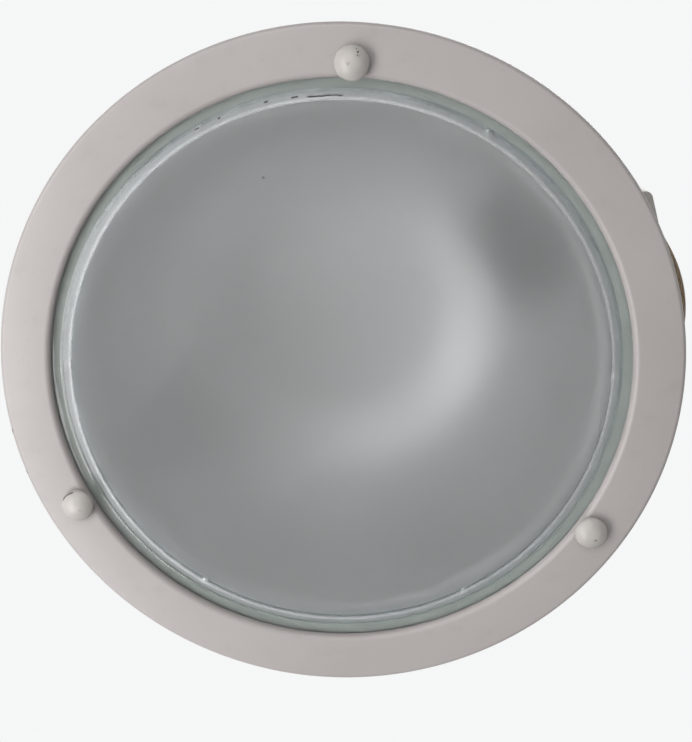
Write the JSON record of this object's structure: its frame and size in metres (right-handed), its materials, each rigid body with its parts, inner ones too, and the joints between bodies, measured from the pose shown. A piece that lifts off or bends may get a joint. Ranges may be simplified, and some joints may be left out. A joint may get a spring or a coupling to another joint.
{
  "type": "recessed ceiling light",
  "caption": "Round recessed ceiling light: white trim ring and frosted pressed glass held by domed thumb nuts, spun reflector, screw-cap lampholders and a side gear tray.",
  "frame": {"origin": "on the ring's axis, in the plane of the ceiling's underside, where the ring's back edge and the pan's collar begin", "axes": "+Z up into the ceiling along the ring's axis; seen from below with +X to the right, -Y points up"},
  "size_m": [0.248, 0.23, 0.1034],
  "materials": {
    "white_paint": "satin white stove enamel",
    "knob_paint": "satin white enamel on metal",
    "glass": "pressed glass with a frosted middle and a clear margin",
    "silicone": "soft translucent silicone",
    "galvanised_steel": "galvanised sheet",
    "spun_aluminium": "spun and brightened",
    "rivet_aluminium": "plain",
    "tray_paint": "pale grey enamel",
    "zinc_steel": "bright zinc plate",
    "terminal_plastic": "natural polyamide",
    "rubber": "dark brown rubber",
    "holder_plastic": "black phenolic moulding",
    "brass": "plain brass",
    "lead_sleeve": "braided glass-fibre sleeve, brown",
    "nylon": "natural nylon",
    "dog_nylon": "white glass-filled nylon"
  },
  "bodies": {
    "base": {"housing_ring": "galvanised_steel", "reflector": "spun_aluminium", "reflector_rivets": "rivet_aluminium", "bracket_rivets": "rivet_aluminium", "strap_rivets": "rivet_aluminium", "gear_strap": "galvanised_steel", "gear_tray": "tray_paint", "tray_lid": "tray_paint", "lid_screws": "zinc_steel", "terminal_block": "terminal_plastic", "terminal_screws": "zinc_steel", "inlet_grommet": "rubber", "cord_grip": "holder_plastic", "cord_grip_screws": "zinc_steel", "earth_screw": "brass", "loop_lead": "lead_sleeve", "feed_lead": "lead_sleeve", "stud_1": "zinc_steel", "stud_2": "zinc_steel", "stud_3": "zinc_steel", "lampholder_body_a": "holder_plastic", "lampholder_cap_a": "holder_plastic", "lampholder_shell_a": "brass", "lampholder_contact_a": "brass", "lampholder_nipple_a": "zinc_steel", "lampholder_nut_a": "zinc_steel", "lampholder_bracket_a": "galvanised_steel", "lampholder_body_b": "holder_plastic", "lampholder_cap_b": "holder_plastic", "lampholder_shell_b": "brass", "lampholder_contact_b": "brass", "lampholder_nipple_b": "zinc_steel", "lampholder_nut_b": "zinc_steel", "lampholder_bracket_b": "galvanised_steel"},
    "front": {"trim_ring": "white_paint", "glass_disc": "glass", "glass_gasket": "silicone"},
    "knob_1_seat": {"knob_washer_1": "nylon"},
    "knob_1_cap": {"knob_1": "knob_paint"},
    "knob_2_seat": {"knob_washer_2": "nylon"},
    "knob_2_cap": {"knob_2": "knob_paint"},
    "knob_3_seat": {"knob_washer_3": "nylon"},
    "knob_3_cap": {"knob_3": "knob_paint"},
    "clamp_1_screw": {"clamp_screw_1": "zinc_steel"},
    "clamp_1_nut": {"clamp_nut_1": "brass"},
    "clamp_1_dog": {"clamp_dog_1": "dog_nylon"},
    "clamp_2_screw": {"clamp_screw_2": "zinc_steel"},
    "clamp_2_nut": {"clamp_nut_2": "brass"},
    "clamp_2_dog": {"clamp_dog_2": "dog_nylon"}
  },
  "joints": [
    {"name": "front_drop", "type": "slide", "parent": "base", "child": "front", "axis": [0, 0, -1], "range_m": [0, 0.06]},
    {"name": "knob_1_travel", "type": "slide", "parent": "front", "child": "knob_1_seat", "axis": [0, 0, -1], "range_m": [0, 0.0035]},
    {"name": "knob_1_turn", "type": "hinge", "parent": "knob_1_seat", "child": "knob_1_cap", "pos_m": [0.0043, -0.10251, -0.01], "axis": [0, 0, -1], "range_deg": [0, 1800]},
    {"name": "knob_2_travel", "type": "slide", "parent": "front", "child": "knob_2_seat", "axis": [0, 0, -1], "range_m": [0, 0.0035]},
    {"name": "knob_2_turn", "type": "hinge", "parent": "knob_2_seat", "child": "knob_2_cap", "pos_m": [-0.09092, 0.04753, -0.01], "axis": [0, 0, -1], "range_deg": [0, 1800]},
    {"name": "knob_3_travel", "type": "slide", "parent": "front", "child": "knob_3_seat", "axis": [0, 0, -1], "range_m": [0, 0.0035]},
    {"name": "knob_3_turn", "type": "hinge", "parent": "knob_3_seat", "child": "knob_3_cap", "pos_m": [0.08663, 0.05498, -0.01], "axis": [0, 0, -1], "range_deg": [0, 1800]},
    {"name": "clamp_1_turn", "type": "hinge", "parent": "base", "child": "clamp_1_screw", "pos_m": [0.04994, 0.09009, 0], "axis": [0, 0, -1], "range_deg": [-2520, 8640]},
    {"name": "clamp_1_climb", "type": "slide", "parent": "base", "child": "clamp_1_nut", "axis": [0, 0, 1], "range_m": [-0.0035, 0.012]},
    {"name": "clamp_1_swing", "type": "hinge", "parent": "clamp_1_nut", "child": "clamp_1_dog", "pos_m": [0.04994, 0.09009, 0.016], "axis": [0, 0, -1], "range_deg": [0, 102]},
    {"name": "clamp_2_turn", "type": "hinge", "parent": "base", "child": "clamp_2_screw", "pos_m": [-0.04994, -0.09009, 0], "axis": [0, 0, -1], "range_deg": [-2520, 8640]},
    {"name": "clamp_2_climb", "type": "slide", "parent": "base", "child": "clamp_2_nut", "axis": [0, 0, 1], "range_m": [-0.0035, 0.012]},
    {"name": "clamp_2_swing", "type": "hinge", "parent": "clamp_2_nut", "child": "clamp_2_dog", "pos_m": [-0.04994, -0.09009, 0.016], "axis": [0, 0, -1], "range_deg": [0, 102]}
  ],
  "couplings": [
    {"joint": "knob_1_turn", "follows": "knob_1_travel", "rad_per_m": 8976},
    {"joint": "knob_2_turn", "follows": "knob_2_travel", "rad_per_m": 8976},
    {"joint": "knob_3_turn", "follows": "knob_3_travel", "rad_per_m": 8976},
    {"joint": "clamp_1_turn", "follows": "clamp_1_climb", "rad_per_m": 12566},
    {"joint": "clamp_2_turn", "follows": "clamp_2_climb", "rad_per_m": 12566}
  ]
}
